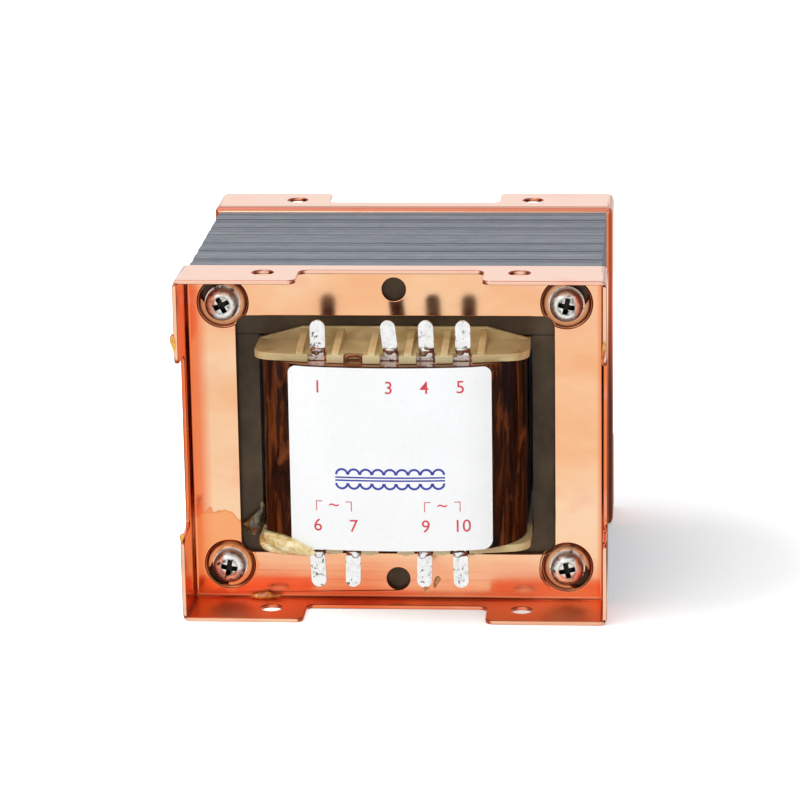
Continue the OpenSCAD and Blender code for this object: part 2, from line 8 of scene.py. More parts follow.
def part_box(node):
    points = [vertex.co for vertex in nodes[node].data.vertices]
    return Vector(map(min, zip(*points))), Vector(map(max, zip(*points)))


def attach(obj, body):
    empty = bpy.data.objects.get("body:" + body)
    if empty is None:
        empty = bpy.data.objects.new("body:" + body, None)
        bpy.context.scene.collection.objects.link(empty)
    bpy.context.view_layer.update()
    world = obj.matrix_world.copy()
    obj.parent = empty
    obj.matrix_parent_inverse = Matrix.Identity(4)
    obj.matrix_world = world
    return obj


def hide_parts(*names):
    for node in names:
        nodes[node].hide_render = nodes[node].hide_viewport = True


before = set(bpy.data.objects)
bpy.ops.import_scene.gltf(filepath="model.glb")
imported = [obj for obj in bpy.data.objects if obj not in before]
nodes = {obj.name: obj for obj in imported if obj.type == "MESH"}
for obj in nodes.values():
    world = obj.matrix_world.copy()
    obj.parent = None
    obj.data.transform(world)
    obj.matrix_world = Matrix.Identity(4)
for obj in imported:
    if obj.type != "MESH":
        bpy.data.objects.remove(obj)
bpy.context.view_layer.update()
MM = 0.001


# ---- Measures ----

CORE_NODES = ("e_laminations_upright", "e_laminations_inverted", "i_laminations_upper", "i_laminations_lower")
CORE_LOW = Vector(min(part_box(node)[0][i] for node in CORE_NODES) for i in range(3))
CORE_HIGH = Vector(max(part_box(node)[1][i] for node in CORE_NODES) for i in range(3))
MIDDLE_Z = (CORE_LOW.z + CORE_HIGH.z) / 2
WINDOW_HALF_H = 28.5 * MM
TONGUE_HALF_W = 19 * MM
WINDOW_W = 19 * MM
SEAM = 0.15 * MM  # between an E sheet and the I sheet that closes it
SHEET_T = 0.47 * MM
CORE_HALF_W = 57 * MM
CORE_HALF_H = 47.5 * MM
CORE_HALF_D = CORE_HIGH.y
PACKETS = 14
SHEETS_PER_PACKET = 10
PITCH = 9.9 * MM  # from one lug slot to the next
LOWER_SHIFT = -1.3 * MM
UPPER_SLOTS = (0, 2, 3, 4)
LOWER_SLOTS = (0, 1, 3, 4)
REAR_UPPER_SLOTS = (0, 2, 4)
REAR_LOWER_SLOTS = (1, 3)
SPARE_SLOT = 1
LUG_Y = 52 * MM
BOBBIN_LOW = 20.35 * MM
BOBBIN_HIGH = 76.75 * MM
LABEL_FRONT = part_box("label")[0].y - 1 * MM
HOLE_R = 3.5 * MM
SCREW_X = 47.5 * MM
SCREW_Z = 38 * MM
SCREW_TURNS = ((-SCREW_X, SCREW_Z, 17), (SCREW_X, SCREW_Z, -12), (-SCREW_X, -SCREW_Z, -14), (SCREW_X, -SCREW_Z, 9))
HEAD_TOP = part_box("clamp_screws")[0].y
WRAP_RINGS = 26
LABEL_COLUMNS, LABEL_ROWS = 32, 24
NUMBER_SIZE = 5.0 * MM
SHARP_EDGE = math.radians(35)
rng = random.Random(11)


def slot_x(index):
    return (index - 2) * PITCH


def mm(*parts):
    """A place or a size given in millimetres."""
    return tuple(part * MM for part in parts)


# ---- Material building ----

class Nodes:
    """A node tree under construction, with one call for each kind of node."""

    def __init__(self, tree):
        self.tree = tree

    def add(self, kind):
        return self.tree.nodes.new("ShaderNode" + kind)

    def link(self, source, target):
        self.tree.links.new(source, target)

    def feed(self, socket, value):
        """Gives a socket a number, a colour or another node's output."""
        if isinstance(value, tuple):
            socket.default_value = (*value, 1)
        elif isinstance(value, (int, float)):
            socket.default_value = value
        elif value is not None:
            self.link(value, socket)

    def math(self, operation, first, second=None):
        node = self.add("Math")
        node.operation = operation
        self.feed(node.inputs[0], first)
        self.feed(node.inputs[1], second)
        return node.outputs[0]

    def times(self, first, second):
        return self.math("MULTIPLY", first, second)

    def span(self, value, low, high, to_low=0.0, to_high=1.0):
        """Maps value from low..high to to_low..to_high, held at the ends."""
        node = self.add("MapRange")
        for name, part in (("From Min", low), ("From Max", high), ("To Min", to_low), ("To Max", to_high)):
            node.inputs[name].default_value = part
        self.link(value, node.inputs["Value"])
        return node.outputs["Result"]

    def band(self, value, start, full, fade, end, top=1.0):
        """Rises from 0 between start and full, and falls back to 0 between fade and end."""
        return self.times(self.span(value, start, full), self.span(value, fade, end, top, 0))

    def glow(self, strength):
        """White light given off, for the sky and the floor."""
        node = self.add("Emission")
        self.link(strength, node.inputs["Strength"])
        return node.outputs[0]

    def mixed(self, amount, first, second):
        """Mixes two surfaces by amount."""
        node = self.add("MixShader")
        self.link(amount, node.inputs["Fac"])
        self.link(first, node.inputs[1])
        self.link(second, node.inputs[2])
        return node.outputs[0]

    def seen_by_metal(self, path):
        """1 where the light path comes from a mirror or through something clear."""
        return self.math("MAXIMUM", path.outputs["Is Glossy Ray"], path.outputs["Is Transmission Ray"])


class Finish(Nodes):
    """A node material under construction, which reads Object coordinates."""

    def __init__(self, name):
        self.material = bpy.data.materials.new(name)
        self.material.use_nodes = True
        super().__init__(self.material.node_tree)
        self.shader = self.tree.nodes["Principled BSDF"]
        self.place = self.add("TexCoord").outputs["Object"]

    def set(self, **values):
        for key, value in values.items():
            self.shader.inputs[key.replace("_", " ").title().replace("Ior", "IOR")].default_value = value

    def stretched(self, scale):
        """Object coordinates multiplied on each axis."""
        node = self.add("Mapping")
        node.inputs["Scale"].default_value = scale
        self.link(self.place, node.inputs["Vector"])
        return node.outputs["Vector"]

    def noise(self, scale, detail=3.0, rough=0.55, distortion=0.0):
        """Noise whose cells are 1/scale metres on each axis."""
        node = self.add("TexNoise")
        for key, part in (("Scale", 1.0), ("Detail", detail), ("Roughness", rough), ("Distortion", distortion)):
            node.inputs[key].default_value = part
        self.link(self.stretched(scale), node.inputs["Vector"])
        return node.outputs["Fac"]

    def axis(self, letter):
        node = self.add("SeparateXYZ")
        self.link(self.place, node.inputs[0])
        return node.outputs[letter]

    def off(self, letter):
        """Distance from the middle plane that is square to one axis."""
        return self.math("ABSOLUTE", self.axis(letter))

    def ramp(self, value, *stops):
        """Colours along value: each stop is a position and a colour."""
        node = self.add("ValToRGB")
        ramp = node.color_ramp
        while len(ramp.elements) < len(stops):
            ramp.elements.new(0.5)
        for element, (position, colour) in zip(ramp.elements, stops):
            element.position = position
            element.color = (*colour, 1)
        self.link(value, node.inputs["Fac"])
        return node.outputs["Color"]

    def blend(self, amount, first, second):
        """Mixes two colours by amount."""
        node = self.add("Mix")
        node.data_type = "RGBA"
        for place, value in ((0, amount), (6, first), (7, second)):
            self.feed(node.inputs[place], value)
        return node.outputs[2]

    def distance(self, centre):
        node = self.add("VectorMath")
        node.operation = "DISTANCE"
        self.link(self.place, node.inputs[0])
        node.inputs[1].default_value = centre
        return node.outputs["Value"]

    def near(self, centre, radius, soft):
        """1 within radius of a point and 0 past radius + soft."""
        return self.span(self.distance(centre), radius, radius + soft, 1, 0)

    def from_screws(self):
        """Distance from the axis of the nearest clamp screw."""
        across = self.math("SUBTRACT", self.off("X"), SCREW_X)
        level = self.math("ABSOLUTE", self.math("SUBTRACT", self.axis("Z"), MIDDLE_Z))
        along = self.math("SUBTRACT", level, SCREW_Z)
        return self.math("SQRT", self.math("ADD", self.times(across, across), self.times(along, along)))

    def rounded(self):
        """1 where the surface turns between two main directions, as on bends and broken edges, and 0 on flats."""
        node = self.add("SeparateXYZ")
        self.link(self.add("NewGeometry").outputs["Normal"], node.inputs[0])
        squares = [self.times(part, part) for part in node.outputs]
        pairs = [self.times(squares[a], squares[b]) for a, b in ((0, 1), (1, 2), (0, 2))]
        return self.span(self.math("ADD", self.math("ADD", pairs[0], pairs[1]), pairs[2]), 0.09, 0.21)

    def colour(self, source):
        self.link(source, self.shader.inputs["Base Color"])

    def rough(self, source):
        self.link(source, self.shader.inputs["Roughness"])

    def bump(self, height, distance, strength=1.0):
        """Adds relief on top of the relief that is already there."""
        node = self.add("Bump")
        node.inputs["Distance"].default_value = distance
        node.inputs["Strength"].default_value = strength
        self.link(height, node.inputs["Height"])
        normal = self.shader.inputs["Normal"]
        if normal.links:
            self.link(normal.links[0].from_socket, node.inputs["Normal"])
        self.link(node.outputs["Normal"], normal)


# ---- Camera ----

CAMERA_PLACE = (0.07627, -0.96286, 0.31899)
CAMERA_LENS = 156.53
CAMERA_YAW, CAMERA_PITCH, CAMERA_ROLL = 0.08087, 0.27271, -0.01625


def place_camera():
    """Stands a little right of the front and looks down on it through a long lens."""
    data = bpy.data.cameras.new("view")
    data.lens = CAMERA_LENS
    data.sensor_width = 36
    data.clip_start, data.clip_end = 0.1, 20
    camera = bpy.data.objects.new("view", data)
    bpy.context.scene.collection.objects.link(camera)
    yaw, pitch, roll = CAMERA_YAW, CAMERA_PITCH, CAMERA_ROLL
    forward = Vector((-math.sin(yaw) * math.cos(pitch), math.cos(yaw) * math.cos(pitch), -math.sin(pitch)))
    level = Vector((math.cos(yaw), math.sin(yaw), 0))
    upright = level.cross(forward)
    right = level * math.cos(roll) + upright * math.sin(roll)
    up = upright * math.cos(roll) - level * math.sin(roll)
    turn = Matrix((right, up, -forward)).transposed().to_4x4()
    camera.matrix_world = Matrix.Translation(CAMERA_PLACE) @ turn
    bpy.context.scene.camera = camera


# ---- Studio ----

LANE_HALF_W, LANE_EDGE = 0.085, 0.03
GLOW_PLACE = (0.075, 0.0, 0)
GLOW_START, GLOW_FULL, GLOW_LEAST = 0.035, 0.17, 0.13
FLAG_REACH = 0.20
FLAG_LEVEL = 0.25
RING_LEVEL = 0.15
SKY_COLOUR = (0.95, 0.97, 1.0, 1)
SKY_STRENGTH = 0.55
AIM = (0, 0, 0.04)


def area_lamp(name, place, target, side, power):
    data = bpy.data.lights.new(name, "AREA")
    data.shape = "RECTANGLE"
    data.size = data.size_y = side
    data.energy = power
    lamp = bpy.data.objects.new(name, data)
    bpy.context.scene.collection.objects.link(lamp)
    lamp.location = place
    lamp.rotation_euler = (Vector(target) - Vector(place)).to_track_quat("-Z", "Y").to_euler()
    return lamp


def surround(world):
    """Lights the object evenly. The eye sees plain white, and metal and glass see white with a darker ring high up."""
    w = Nodes(world.node_tree)
    sky = w.tree.nodes["Background"]
    sky.inputs["Color"].default_value = SKY_COLOUR
    sky.inputs["Strength"].default_value = SKY_STRENGTH
    direction = w.add("SeparateXYZ")
    w.link(w.add("TexCoord").outputs["Generated"], direction.inputs[0])
    upward = direction.outputs["Z"]
    ring = w.band(upward, 0.55, 0.66, 0.88, 0.96)
    path = w.add("LightPath")
    bright = w.seen_by_metal(path)
    glow = w.glow(w.span(w.times(ring, bright), 0, 1, 1, RING_LEVEL))
    seen = w.mixed(w.math("MAXIMUM", path.outputs["Is Camera Ray"], bright), sky.outputs[0], glow)
    w.link(seen, w.tree.nodes["World Output"].inputs["Surface"])


def light_studio():
    scene = bpy.context.scene
    scene.view_settings.view_transform = "Standard"
    world = bpy.data.worlds.new("studio")
    scene.world = world
    world.use_nodes = True
    surround(world)
    area_lamp("key", (-0.55, -0.55, 0.95), AIM, 1.4, 9)
    fill = area_lamp("fill", (0.75, -0.8, 0.5), AIM, 1.2, 2.5)
    fill.visible_glossy = False
    area_lamp("top", (0.0, 0.25, 1.1), (0, 0, 0.05), 1.3, 3.5)


def floor_white():
    """Lit floor with a glow that rises to plain white further off. Metal and glass see a white lane before the
    object, and darker flags beside and behind it that draw its edges."""
    f = Finish("floor_white")
    f.set(base_color=(0.90, 0.90, 0.90, 1), roughness=0.8, specular_ior_level=0.1)
    path = f.add("LightPath")
    open_floor = f.span(f.distance(GLOW_PLACE), GLOW_START, GLOW_FULL, GLOW_LEAST, 1.0)
    lift = f.glow(f.times(open_floor, path.outputs["Is Camera Ray"]))
    seen = f.add("AddShader")
    f.link(f.shader.outputs[0], seen.inputs[0])
    f.link(lift, seen.inputs[1])
    beside = f.span(f.off("X"), LANE_HALF_W, LANE_HALF_W + LANE_EDGE)
    behind = f.span(f.axis("Y"), -0.04, 0.0)
    flag = f.times(f.math("MAXIMUM", beside, behind), f.near((0, 0, 0), FLAG_REACH, 0.12))
    mirrored = f.glow(f.span(flag, 0, 1, 1.0, FLAG_LEVEL))
    mix = f.mixed(f.seen_by_metal(path), seen.outputs[0], mirrored)
    f.link(mix, f.tree.nodes["Material Output"].inputs["Surface"])
    return f.material


def lay_floor():
    bpy.ops.mesh.primitive_plane_add(size=8, location=(0, 0, 0))
    floor = bpy.context.active_object
    floor.name = "floor"
    floor.data.materials.append(floor_white())


# ---- Finishes ----

def copper_plate():
    """Bright copper on pressed steel, with painted light and shade: a paler pink painted sheen on top, a painted
    highlight a little above the bottom, painted shade deeper low down, and smears where varnish ran off.
    """
    f = Finish("copper_plate")
    f.set(metallic=1.0)
    mottle = f.noise((30, 30, 55), 4, 0.55, 0.3)
    streaks = f.noise((9, 9, 520), 3, 0.6)
    height = f.axis("Z")
    # The plate: deeper low down as painted shade, and palest a little above as a painted highlight.
    pale = f.ramp(mottle, (0.30, (0.93, 0.47, 0.24)), (0.52, (0.96, 0.56, 0.32)), (0.72, (0.98, 0.66, 0.42)))
    deep = f.ramp(f.noise((26, 26, 160), 3, 0.55), (0.34, (0.84, 0.16, 0.055)), (0.66, (0.93, 0.33, 0.15)))
    level = f.math("ADD", height, f.span(f.noise((14, 14, 60), 3, 0.5), 0.3, 0.7, -3 * MM, 3 * MM))
    lift = f.band(level, 12 * MM, 20 * MM, 30 * MM, 44 * MM)
    pale = f.blend(f.times(lift, 0.6), pale, (0.99, 0.72, 0.48))
    colour = f.blend(f.span(level, 3.5 * MM, 14.5 * MM), deep, pale)
    # The flanges, their lips and the plate beside them: painted shade turns the flanks deep red, a painted highlight
    # lightens the lips, and a painted orange reflection lies on the plate beside the left flange.
    flank_shade = f.span(f.off("X"), 55.6 * MM, 57.3 * MM)
    colour = f.blend(f.times(flank_shade, 0.9), colour, (0.88, 0.19, 0.055))
    beside = f.span(f.axis("X"), -55.0 * MM, -51.8 * MM, 0.9, 0)
    beside = f.times(beside, f.span(height, 90 * MM, 96 * MM, 1, 0))
    colour = f.blend(beside, colour, (0.90, 0.21, 0.07))
    lip = f.span(f.off("Y"), 55.15 * MM, 55.35 * MM, 0, 0.9)
    colour = f.blend(lip, colour, (0.98, 0.62, 0.40))
    # Painted sheen: a paler pink on the top flange.
    colour = f.blend(f.span(height, 95.5 * MM, 97.2 * MM), colour, (0.95, 0.60, 0.46))
    # Blushes, smears, painted shade in the screw dimples and the stain round the lower left screw.
    blush = f.span(f.noise((60, 60, 90), 2, 0.5), 0.58, 0.74, 0, 0.5)
    colour = f.blend(blush, colour, (0.93, 0.38, 0.27))
    smear = f.times(f.span(streaks, 0.56, 0.70), f.span(level, 6 * MM, 13 * MM, 0.6, 0))
    colour = f.blend(smear, colour, (0.72, 0.12, 0.04))
    radius = f.from_screws()
    dimple = f.band(radius, 4.6 * MM, 5.6 * MM, 6.6 * MM, 7.4 * MM)
    colour = f.blend(f.times(dimple, 0.75), colour, (0.52, 0.20, 0.08))
    edge = f.math("ADD", f.distance(mm(-51, -36.5, 15)),
                  f.span(f.noise((130, 130, 130), 2, 0.5), 0.3, 0.7, -2.2 * MM, 2.2 * MM))
    stain = f.span(edge, 11.6 * MM, 12.0 * MM, 0.85, 0)
    rim = f.band(edge, 11.2 * MM, 11.7 * MM, 11.7 * MM, 12.1 * MM, 0.6)
    colour = f.blend(stain, colour, (0.96, 0.36, 0.13))
    colour = f.blend(rim, colour, (0.78, 0.22, 0.07))
    # Painted shade: a dark line along the bends and broken edges.
    f.colour(f.blend(f.times(f.rounded(), 0.85), colour, (0.30, 0.05, 0.022)))
    worn = f.span(f.noise((30, 30, 60), 5, 0.6), 0.3, 0.7, 0.10, 0.20)
    worn = f.math("MAXIMUM", worn, f.times(dimple, 0.32))
    f.rough(f.math("MAXIMUM", worn, f.span(height, 2 * MM, 6 * MM, 0.42, 0.0)))
    f.bump(f.noise((22, 22, 22), 2, 0.5), 0.0003, 0.1)
    f.bump(f.noise((60, 60, 1400), 2, 0.5), 0.00001, 0.2)
    return f.material


def core_steel(name, tone):
    """Grey sheet edges, each line its own tone, and brown varnish on the end sheets' faces."""
    f = Finish(name)
    f.set(metallic=0.55)
    sheet = f.noise((3, 2100, 3), 2, 0.9)
    patch = f.noise((160, 420, 160), 5, 0.65)
    lines = f.ramp(sheet, (0.32, (0.125, 0.132, 0.15)), (0.48, (0.185 * tone, 0.203 * tone, 0.232 * tone)),
                   (0.70, (0.27, 0.295, 0.33)))
    specks = f.span(f.noise((900, 900, 900), 2, 0.6), 0.70, 0.76, 0, 0.8)
    edges = f.blend(f.span(patch, 0.60, 0.75, 0, 0.45), lines, (0.11, 0.115, 0.13))
    edges = f.blend(specks, edges, (0.035, 0.03, 0.03))
    face = f.span(f.off("Y"), 34.9 * MM, 34.97 * MM)
    flat = f.ramp(f.noise((60, 60, 35), 5, 0.6), (0.35, (0.042, 0.025, 0.013)), (0.60, (0.090, 0.060, 0.032)),
                  (0.8, (0.15, 0.105, 0.058)))
    f.colour(f.blend(face, edges, flat))
    f.rough(f.span(patch, 0.3, 0.7, 0.32, 0.55))
    f.bump(f.noise((400, 400, 400), 3, 0.5), 0.00003, 0.4)
    return f.material


def bobbin_nylon():
    """Cream moulding soaked in varnish, with amber lines where it drained and a painted highlight on its front rim."""
    f = Finish("bobbin_nylon")
    f.set(subsurface_weight=0.12, subsurface_radius=(0.003, 0.002, 0.001), subsurface_scale=0.4, coat_weight=0.4,
          coat_roughness=0.08)
    cloud = f.noise((110, 110, 110), 4, 0.6)
    colour = f.ramp(cloud, (0.3, (0.43, 0.29, 0.115)), (0.55, (0.57, 0.42, 0.19)), (0.8, (0.68, 0.54, 0.28)))
    amber = f.span(f.noise((75, 75, 150), 4, 0.6, 0.8), 0.56, 0.70, 0, 0.65)
    colour = f.blend(amber, colour, (0.42, 0.19, 0.04))
    drained = f.near(mm(-33, -50, 21), 4 * MM, 14 * MM)
    lines = f.span(f.noise((240, 240, 700), 3, 0.6, 1.5), 0.50, 0.60, 0.2, 1.0)
    colour = f.blend(f.times(drained, lines), colour, (0.62, 0.33, 0.04))
    # Painted highlight: a paler cream on the front rim.
    front = f.span(f.off("Y"), 53.5 * MM, 55.5 * MM, 0, 0.55)
    f.colour(f.blend(front, colour, (0.74, 0.66, 0.40)))
    f.rough(f.span(cloud, 0.3, 0.7, 0.26, 0.45))
    f.bump(f.noise((900, 900, 900), 2, 0.5), 0.00003, 0.35)
    return f.material


def varnished_wrap():
    """Brown paper soaked in varnish: dark and glossy, with streaks along the way that it drained."""
    f = Finish("varnished_wrap")
    f.set(coat_weight=0.08, coat_roughness=0.05, specular_ior_level=0.03)
    streak = f.noise((300, 300, 44), 5, 0.62, 1.0)
    broad = f.noise((95, 95, 42), 4, 0.6, 1.2)
    colour = f.ramp(streak, (0.40, (0.008, 0.0015, 0.0008)), (0.52, (0.036, 0.007, 0.0015)),
                    (0.64, (0.15, 0.034, 0.006)))
    f.colour(f.blend(f.span(broad, 0.56, 0.66, 0, 0.75), colour, (0.19, 0.048, 0.010)))
    f.rough(f.span(streak, 0.3, 0.7, 0.30, 0.5))
    f.bump(f.noise((260, 260, 16), 4, 0.6, 0.3), 0.0006, 0.6)
    return f.material


def label_paper():
    f = Finish("label_paper")
    f.set(coat_weight=0.25, coat_roughness=0.2)
    fibre = f.noise((900, 900, 500), 4, 0.6)
    cloud = f.noise((50, 50, 40), 3, 0.5)
    colour = f.ramp(cloud, (0.35, (0.90, 0.90, 0.89)), (0.65, (0.94, 0.94, 0.94)))
    f.colour(f.blend(f.span(fibre, 0.55, 0.8, 0, 0.3), colour, (0.74, 0.72, 0.68)))
    f.rough(f.span(fibre, 0.3, 0.7, 0.42, 0.6))
    f.bump(f.noise((90, 90, 30), 3, 0.5), 0.0003, 0.4)
    return f.material


def tinned_lug():
    """Bright tin with dark specks, with painted shade along the rounded edges and on the side that faces the plate."""
    f = Finish("tinned_lug")
    f.set(metallic=1.0)
    mottle = f.noise((420, 420, 420), 5, 0.65, 0.5)
    tin = f.ramp(mottle, (0.33, (0.05, 0.045, 0.04)), (0.37, (0.80, 0.80, 0.79)), (0.55, (0.96, 0.96, 0.95)))
    specks = f.span(f.noise((700, 700, 520), 3, 0.6, 0.6), 0.61, 0.65, 0, 0.85)
    tin = f.blend(specks, tin, (0.05, 0.045, 0.04))
    # Painted shade along the rounded edges, and on the side that faces the plate.
    tin = f.blend(f.times(f.rounded(), 0.75), tin, (0.16, 0.14, 0.12))
    inner = f.span(f.off("Y"), 51.62 * MM, 51.72 * MM, 1, 0)
    f.colour(f.blend(inner, tin, (0.10, 0.03, 0.02)))
    f.rough(f.span(f.noise((260, 260, 260), 3, 0.6), 0.3, 0.7, 0.2, 0.45))
    f.bump(f.noise((300, 300, 300), 4, 0.6), 0.0002, 0.6)
    return f.material


def lead_wire():
    f = Finish("lead_wire")
    f.set(metallic=0.7, coat_weight=0.5, coat_roughness=0.15)
    f.colour(f.ramp(f.noise((700, 700, 700), 3, 0.6), (0.36, (0.06, 0.012, 0.006)), (0.62, (0.50, 0.12, 0.045))))
    f.rough(f.span(f.noise((500, 500, 500), 2), 0.3, 0.7, 0.2, 0.4))
    return f.material


def plated_screw(name, shade, painted_head_shade=False):
    """Nickel plate; the last argument paints shade into the cross recess of each front head and a dark ring round its
    rim.
    """
    f = Finish(name)
    f.set(metallic=0.72)
    wear = f.noise((520, 520, 520), 4, 0.6, 0.3)
    colour = f.ramp(wear, (0.36, (0.09 * shade, 0.08 * shade, 0.065 * shade)),
                    (0.42, (0.70 * shade, 0.69 * shade, 0.64 * shade)),
                    (0.56, (0.88 * shade, 0.88 * shade, 0.84 * shade)))
    if painted_head_shade:
        # Painted shade: a dark red-brown ring round each head's rim, and near-black in its cross recess.
        radius = f.from_screws()
        inside = f.span(radius, 2.5 * MM, 2.65 * MM, 1, 0)
        sunk = f.span(f.axis("Y"), HEAD_TOP + 0.12 * MM, HEAD_TOP + 0.50 * MM)
        front = f.span(f.axis("Y"), -30 * MM, -29 * MM, 1, 0)
        rim = f.math("ADD", radius, f.span(wear, 0.3, 0.7, -0.5 * MM, 0.5 * MM))
        rim_shade = f.times(f.span(rim, 3.2 * MM, 4.0 * MM, 0, 0.94), front)
        colour = f.blend(rim_shade, colour, (0.16, 0.070, 0.045))
        recess_shade = f.times(f.times(inside, sunk), front)
        colour = f.blend(recess_shade, colour, (0.010, 0.011, 0.006))
    f.colour(colour)
    f.rough(f.span(wear, 0.3, 0.7, 0.10, 0.26))
    f.bump(f.noise((500, 500, 500), 3, 0.5), 0.00004, 0.5)
    return f.material


def set_varnish(name, dark, middle, light, clear, relief=0.3 * MM):
    """Varnish that set in beads and runs, in three tones from its thick to its thin parts."""
    f = Finish(name)
    f.set(coat_weight=1.0, coat_roughness=0.03, transmission_weight=clear)
    cloud = f.noise((330, 330, 330), 4, 0.6, 0.8)
    f.colour(f.ramp(cloud, (0.36, dark), (0.52, middle), (0.68, light)))
    f.rough(f.span(cloud, 0.3, 0.7, 0.05, 0.16))
    f.bump(f.noise((520, 520, 520), 3, 0.6), relief, 0.6)
    return f.material


def layer_insulation():
    f = Finish("layer_insulation")
    f.colour(f.ramp(f.noise((300, 300, 60), 4, 0.6), (0.3, (0.40, 0.26, 0.10)), (0.7, (0.58, 0.43, 0.20))))
    f.rough(f.span(f.noise((500, 500, 500), 3), 0.3, 0.7, 0.4, 0.65))
    return f.material


def enamelled_wire():
    f = Finish("enamelled_wire")
    f.set(metallic=0.5, coat_weight=0.6, coat_roughness=0.12)
    turns = f.noise((20, 20, 2600), 1, 0.5)
    f.colour(f.ramp(turns, (0.35, (0.16, 0.035, 0.015)), (0.65, (0.46, 0.14, 0.05))))
    f.rough(f.span(turns, 0.3, 0.7, 0.2, 0.4))
    f.bump(turns, 0.0001, 0.6)
    return f.material


def copper_foil():
    f = Finish("copper_foil")
    f.set(metallic=1.0)
    f.colour(f.ramp(f.noise((90, 90, 90), 3), (0.3, (0.72, 0.32, 0.17)), (0.7, (0.86, 0.45, 0.28))))
    f.rough(f.span(f.noise((200, 200, 200), 3), 0.3, 0.7, 0.2, 0.4))
    return f.material


def sleeve_paper():
    f = Finish("sleeve_paper")
    f.colour(f.ramp(f.noise((500, 500, 500), 4), (0.3, (0.34, 0.24, 0.13)), (0.7, (0.50, 0.38, 0.22))))
    f.rough(f.span(f.noise((500, 500, 500), 3), 0.3, 0.7, 0.6, 0.8))
    return f.material


FINISHES = {
    "copper_plate": copper_plate(),
    "core_steel": core_steel("core_steel", 1.0),
    "core_steel_closing": core_steel("core_steel_closing", 1.12),
    "bobbin_nylon": bobbin_nylon(),
    "enamelled_wire": enamelled_wire(),
    "layer_insulation": layer_insulation(),
    "copper_foil": copper_foil(),
    "varnished_wrap": varnished_wrap(),
    "label_paper": label_paper(),
    "tinned_lug": tinned_lug(),
    "lead_wire": lead_wire(),
    "plated_screw": plated_screw("plated_screw", 1.08, painted_head_shade=True),
    "plated_washer": plated_screw("plated_washer", 1.1),
    "sleeve_paper": sleeve_paper(),
}
THICK_VARNISH = set_varnish("thick_varnish", (0.022, 0.016, 0.005), (0.075, 0.052, 0.018), (0.30, 0.23, 0.09), 0.1,
                            1.2 * MM)
AMBER_VARNISH = set_varnish("amber_varnish", (0.24, 0.035, 0.006), (0.66, 0.19, 0.015), (0.98, 0.58, 0.08), 0.0)
PALE_VARNISH = set_varnish("pale_varnish", (0.56, 0.36, 0.09), (0.74, 0.58, 0.26), (0.86, 0.78, 0.52), 0.0)


def finish_cad_nodes():
    """Gives each CAD node the finish named by its material slot."""
    for obj in nodes.values():
        for holder in obj.material_slots:
            slot = holder.material.name.split(".")[0]
            holder.material = FINISHES[slot]


# ---- Modelling ----

def pick(*pieces):
    bpy.ops.object.select_all(action="DESELECT")
    for piece in pieces:
        piece.select_set(True)
    bpy.context.view_layer.objects.active = pieces[0]


def edit(piece):
    pick(piece)
    bpy.ops.object.mode_set(mode="EDIT")


def done():
    bpy.ops.object.mode_set(mode="OBJECT")


def between(low, length, count):
    """The places that part a length into count equal strips."""
    return [low + length * step / count for step in range(1, count)]


def slice_across(axis, places):
    """Cuts the piece in hand along planes square to one axis."""
    square = [float(i == axis) for i in range(3)]
    for place in places:
        bpy.ops.mesh.select_all(action="SELECT")
        bpy.ops.mesh.bisect(plane_co=[place * part for part in square], plane_no=square)


def face_outward():
    bpy.ops.mesh.select_all(action="SELECT")
    bpy.ops.mesh.normals_make_consistent(inside=False)


def select_faces(piece, test):
    """Selects the faces whose centre passes the test."""
    bpy.ops.mesh.select_mode(type="FACE")
    bpy.ops.mesh.select_all(action="DESELECT")
    done()
    for face in piece.data.polygons:
        face.select = test(face.center)
    bpy.ops.object.mode_set(mode="EDIT")


def settle(piece):
    """Puts the piece's place into its mesh."""
    pick(piece)
    bpy.ops.object.transform_apply(location=True, rotation=True, scale=True)


def modify(piece, kind, **settings):
    """Adds a modifier with these settings and applies it."""
    pick(piece)
    modifier = piece.modifiers.new(kind.lower(), kind)
    for key, value in settings.items():
        setattr(modifier, key, value)
    bpy.ops.object.modifier_apply(modifier=modifier.name)


def smooth(piece, degrees=32):
    pick(piece)
    bpy.ops.object.shade_smooth_by_angle(angle=math.radians(degrees))


def joined(name, pieces):
    pick(*pieces)
    bpy.ops.object.join()
    pieces[0].name = name
    return pieces[0]


def moved_copy(piece, offset):
    copy = bpy.data.objects.new(piece.name + "_copy", piece.data.copy())
    bpy.context.scene.collection.objects.link(copy)
    copy.data.transform(Matrix.Translation(offset))
    return copy


def finished(piece, slot, *replaced, finish=None):
    """Gives the piece its finish and its body, and hides the CAD nodes that it stands for."""
    piece.data.materials.clear()
    piece.data.materials.append(finish or FINISHES[slot])
    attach(piece, "root")
    if replaced:
        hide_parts(*replaced)
    return piece


def clean_copy(node, name):
    """A copy of a CAD node with its doubles merged and its flat faces whole."""
    piece = bpy.data.objects.new(name, nodes[node].data.copy())
    bpy.context.scene.collection.objects.link(piece)
    edit(piece)
    bpy.ops.mesh.select_all(action="SELECT")
    bpy.ops.mesh.remove_doubles(threshold=0.002 * MM)
    bpy.ops.mesh.dissolve_limited(angle_limit=math.radians(0.5))
    done()
    bpy.ops.mesh.customdata_custom_splitnormals_clear()
    return piece


def edged_copy(node, name, slot, edge, segments=2):
    """A clean copy of a CAD node with its sharp edges broken."""
    piece = clean_copy(node, name)
    modify(piece, "BEVEL", width=edge, segments=segments, limit_method="ANGLE",
           angle_limit=SHARP_EDGE, use_clamp_overlap=False)
    smooth(piece)
    modify(piece, "WEIGHTED_NORMAL", keep_sharp=True)
    return finished(piece, slot, node)


